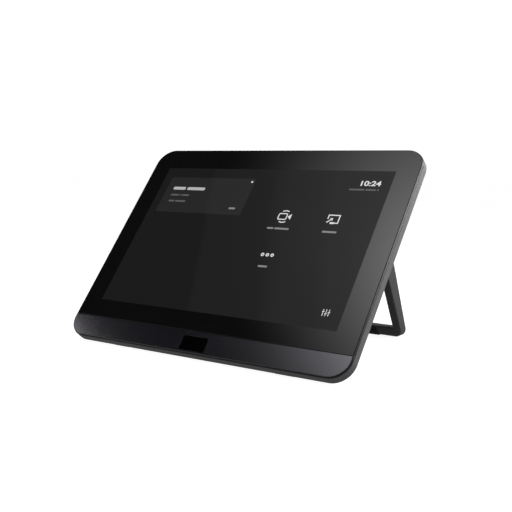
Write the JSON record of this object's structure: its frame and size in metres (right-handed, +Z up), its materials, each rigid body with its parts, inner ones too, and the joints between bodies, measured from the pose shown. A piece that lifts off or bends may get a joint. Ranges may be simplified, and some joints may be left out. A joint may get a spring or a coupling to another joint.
{
  "type": "desk touch console",
  "caption": "Tablet-like desk touch console with a black glass front, a satin chin with a sensor window, a hollow rear cover with a socket pod, and a folding U-shaped stand.",
  "frame": {"origin": "on the desk, under the middle of the bounding box", "axes": "+X to the viewer's right, +Y to the back, +Z up"},
  "size_m": [0.202, 0.1378, 0.1212],
  "materials": {
    "black_glass": "glossy, black printed from behind",
    "satin_chin": "satin, fine grain",
    "gloss_window": "polished, infrared-clear",
    "adhesive_foam": "matt",
    "clear_film": "clear film, black seen from outside",
    "lcd_glass": "glossy",
    "bright_metal": "tinned sheet",
    "frame_plastic": "semi-gloss",
    "lens_plastic": "milky",
    "board_laminate": "solder mask",
    "aluminium_sheet": "mill finish",
    "screw_steel": "black zinc",
    "chip_resin": "moulded epoxy",
    "thermal_rubber": "soft silicone",
    "coil_plastic": "moulded",
    "capacitor_can": "sleeved can",
    "connector_plastic": "moulded",
    "ribbon_film": "polyimide film",
    "gold_contacts": "gold flash",
    "button_plastic": "satin",
    "cover_plastic": "fine spark-eroded texture",
    "foot_rubber": "matt",
    "antenna_film": "flexible laminate",
    "lead_jacket": "smooth jacket",
    "hinge_steel": "zinc plated",
    "stand_metal": "fine matt powder coat"
  },
  "bodies": {
    "housing": {"cover_glass": "black_glass", "chin_strip": "satin_chin", "sensor_window": "gloss_window", "glass_adhesive": "adhesive_foam", "touch_sensor": "clear_film", "lcd_panel": "lcd_glass", "backlight_unit": "bright_metal", "front_frame": "frame_plastic", "presence_sensor": "lens_plastic", "sensor_board": "board_laminate", "chassis_plate": "aluminium_sheet", "chassis_screws": "screw_steel", "main_board": "board_laminate", "board_screws": "screw_steel", "processor": "chip_resin", "thermal_pad": "thermal_rubber", "heat_block": "aluminium_sheet", "shield_can": "bright_metal", "memory_chips": "chip_resin", "wifi_module": "bright_metal", "poe_transformer": "coil_plastic", "bulk_capacitors": "capacitor_can", "ribbon_connectors": "connector_plastic", "display_cable": "ribbon_film", "touch_cable": "ribbon_film", "sensor_cable": "ribbon_film", "rj45_jack": "connector_plastic", "rj45_contacts": "gold_contacts", "usb_c_port": "bright_metal", "usb_c_tongue": "connector_plastic", "reset_switch": "connector_plastic", "rear_cover": "cover_plastic", "housing_screws": "screw_steel", "security_plate": "screw_steel", "front_foot_right": "foot_rubber", "front_foot_left": "foot_rubber", "wifi_antenna_right": "antenna_film", "wifi_antenna_left": "antenna_film", "antenna_lead_right": "lead_jacket", "antenna_lead_left": "lead_jacket", "hinge_bracket_right": "hinge_steel", "hinge_bracket_left": "hinge_steel", "hinge_screws": "screw_steel"},
    "stand_bracket": {"stand": "stand_metal", "stand_pad": "foot_rubber", "hinge_pin_right": "hinge_steel", "hinge_pin_left": "hinge_steel", "friction_washers_right": "hinge_steel", "friction_washers_left": "hinge_steel", "hinge_stop_right": "hinge_steel", "hinge_stop_left": "hinge_steel", "hinge_nut_right": "hinge_steel", "hinge_nut_left": "hinge_steel"},
    "reset_key": {"reset_button": "button_plastic"}
  },
  "joints": [
    {"name": "stand_hinge", "type": "hinge", "parent": "housing", "child": "stand_bracket", "pos_m": [0, 0.02359, 0.08367], "axis": [-1, 0, 0], "range_deg": [0, 65.9]},
    {"name": "reset_press", "type": "slide", "parent": "housing", "child": "reset_key", "axis": [0, 0.6334, 0.7738], "range_m": [0, 0.0005], "stiffness_N_per_m": 400}
  ]
}
